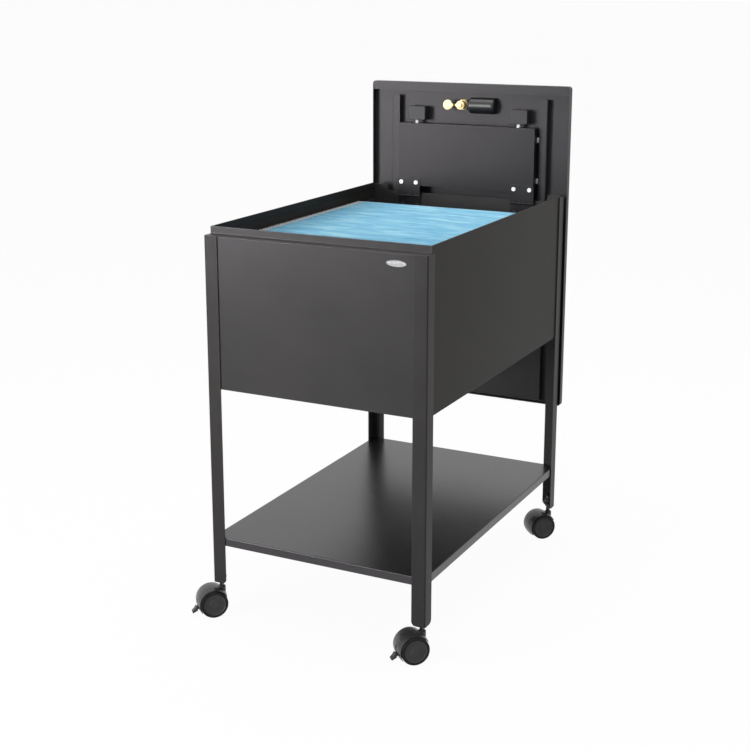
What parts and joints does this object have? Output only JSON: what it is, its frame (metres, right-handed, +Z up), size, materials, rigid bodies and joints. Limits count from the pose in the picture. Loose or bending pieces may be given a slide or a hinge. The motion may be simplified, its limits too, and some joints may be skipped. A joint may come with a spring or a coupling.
{
  "type": "hanging file cart",
  "caption": "Black steel tub file on swivel casters with a lower shelf, hanging folders and a locking lid that flips up and slides down behind the tub.",
  "frame": {"origin": "floor point under the middle of the four legs", "axes": "+Z up, -Y towards the front of the cart, +X to the right seen from the front"},
  "size_m": [0.4645, 0.692, 0.916],
  "materials": {
    "black_steel": "satin",
    "black_screw": "satin",
    "zinc_steel": "satin",
    "rivet_steel": "satin",
    "hanger_steel": "satin",
    "white_nylon": "matte",
    "pull_plastic": "gloss",
    "caster_plastic": "gloss",
    "wheel_plastic": "matte",
    "lock_brass": "polished",
    "blue_card": "matte"
  },
  "bodies": {
    "cart_frame": {"leg_front_left": "black_steel", "leg_front_right": "black_steel", "leg_rear_left": "black_steel", "leg_rear_right": "black_steel", "front_panel": "black_steel", "back_panel": "black_steel", "side_panel_left": "black_steel", "side_panel_right": "black_steel", "tub_floor": "black_steel", "hanging_rail_left": "black_steel", "hanging_rail_right": "black_steel", "shelf": "black_steel", "shelf_screws": "black_screw", "caster_tabs": "black_steel", "caster_nuts": "zinc_steel", "caster_stem_front_left": "zinc_steel", "caster_stem_front_right": "zinc_steel", "caster_stem_rear_left": "zinc_steel", "caster_stem_rear_right": "zinc_steel", "hinge_leaf_fixed_left": "black_steel", "hinge_leaf_fixed_right": "black_steel", "back_rivets": "black_steel", "hinge_pins": "zinc_steel"},
    "lid_carrier": {"carrier_plate": "black_steel", "hinge_leaf_moving_left": "black_steel", "hinge_leaf_moving_right": "black_steel", "plate_rivets": "rivet_steel", "glides": "white_nylon"},
    "lid": {"lid_panel": "black_steel", "guide_channel_left": "black_steel", "guide_channel_right": "black_steel", "stop_block_left": "black_steel", "stop_block_right": "black_steel", "stop_bumpers": "white_nylon", "pull_cup": "pull_plastic", "lock_barrel": "lock_brass", "lock_nut": "lock_brass"},
    "lock_core": {"lock_plug": "lock_brass", "lock_cam": "lock_brass", "cam_screw": "lock_brass"},
    "folders": {"folder_leaves": "blue_card", "folder_rods": "hanger_steel"},
    "caster_front_left": {"caster_hood_front_left": "caster_plastic"},
    "wheels_front_left": {"caster_axle_front_left": "zinc_steel", "caster_wheel_inner_front_left": "wheel_plastic", "caster_wheel_outer_front_left": "wheel_plastic"},
    "brake_front_left": {"brake_lever_front_left": "caster_plastic"},
    "caster_front_right": {"caster_hood_front_right": "caster_plastic"},
    "wheels_front_right": {"caster_axle_front_right": "zinc_steel", "caster_wheel_inner_front_right": "wheel_plastic", "caster_wheel_outer_front_right": "wheel_plastic"},
    "brake_front_right": {"brake_lever_front_right": "caster_plastic"},
    "caster_rear_left": {"caster_hood_rear_left": "caster_plastic"},
    "wheels_rear_left": {"caster_axle_rear_left": "zinc_steel", "caster_wheel_inner_rear_left": "wheel_plastic", "caster_wheel_outer_rear_left": "wheel_plastic"},
    "caster_rear_right": {"caster_hood_rear_right": "caster_plastic"},
    "wheels_rear_right": {"caster_axle_rear_right": "zinc_steel", "caster_wheel_inner_rear_right": "wheel_plastic", "caster_wheel_outer_rear_right": "wheel_plastic"}
  },
  "joints": [
    {"name": "lid_hinge", "type": "hinge", "parent": "cart_frame", "child": "lid_carrier", "pos_m": [0, 0.311, 0.686], "axis": [1, 0, 0], "range_deg": [0, 90]},
    {"name": "lid_slide", "type": "slide", "parent": "lid_carrier", "child": "lid", "axis": [0, 0, 1], "range_m": [0, 0.4015]},
    {"name": "lock_turn", "type": "hinge", "parent": "lid", "child": "lock_core", "pos_m": [-0.014, 0.336, 0.873], "axis": [0, 1, 0], "range_deg": [0, 90]},
    {"name": "folder_slide", "type": "slide", "parent": "cart_frame", "child": "folders", "axis": [0, 1, 0], "range_m": [0, 0.035]},
    {"name": "caster_swivel_front_left", "type": "hinge", "parent": "cart_frame", "child": "caster_front_left", "pos_m": [-0.1995, -0.3075, 0.052], "axis": [0, 0, 1], "continuous": true},
    {"name": "wheel_spin_front_left", "type": "hinge", "parent": "caster_front_left", "child": "wheels_front_left", "pos_m": [-0.21223, -0.32023, 0.025], "axis": [-0.7071, 0.7071, 0], "continuous": true},
    {"name": "brake_tip_front_left", "type": "hinge", "parent": "caster_front_left", "child": "brake_front_left", "pos_m": [-0.22354, -0.33154, 0.021], "axis": [-0.7071, 0.7071, 0], "range_deg": [0, 20]},
    {"name": "caster_swivel_front_right", "type": "hinge", "parent": "cart_frame", "child": "caster_front_right", "pos_m": [0.1995, -0.3075, 0.052], "axis": [0, 0, 1], "continuous": true},
    {"name": "wheel_spin_front_right", "type": "hinge", "parent": "caster_front_right", "child": "wheels_front_right", "pos_m": [0.18677, -0.32023, 0.025], "axis": [-0.7071, 0.7071, 0], "continuous": true},
    {"name": "brake_tip_front_right", "type": "hinge", "parent": "caster_front_right", "child": "brake_front_right", "pos_m": [0.17546, -0.33154, 0.021], "axis": [-0.7071, 0.7071, 0], "range_deg": [0, 20]},
    {"name": "caster_swivel_rear_left", "type": "hinge", "parent": "cart_frame", "child": "caster_rear_left", "pos_m": [-0.1995, 0.3075, 0.052], "axis": [0, 0, 1], "continuous": true},
    {"name": "wheel_spin_rear_left", "type": "hinge", "parent": "caster_rear_left", "child": "wheels_rear_left", "pos_m": [-0.21223, 0.29477, 0.025], "axis": [-0.7071, 0.7071, 0], "continuous": true},
    {"name": "caster_swivel_rear_right", "type": "hinge", "parent": "cart_frame", "child": "caster_rear_right", "pos_m": [0.1995, 0.3075, 0.052], "axis": [0, 0, 1], "continuous": true},
    {"name": "wheel_spin_rear_right", "type": "hinge", "parent": "caster_rear_right", "child": "wheels_rear_right", "pos_m": [0.18677, 0.29477, 0.025], "axis": [-0.7071, 0.7071, 0], "continuous": true}
  ],
  "couplings": [
    {"joint": "lid_slide", "follows": "lid_hinge", "m_per_rad": 0.2556}
  ]
}
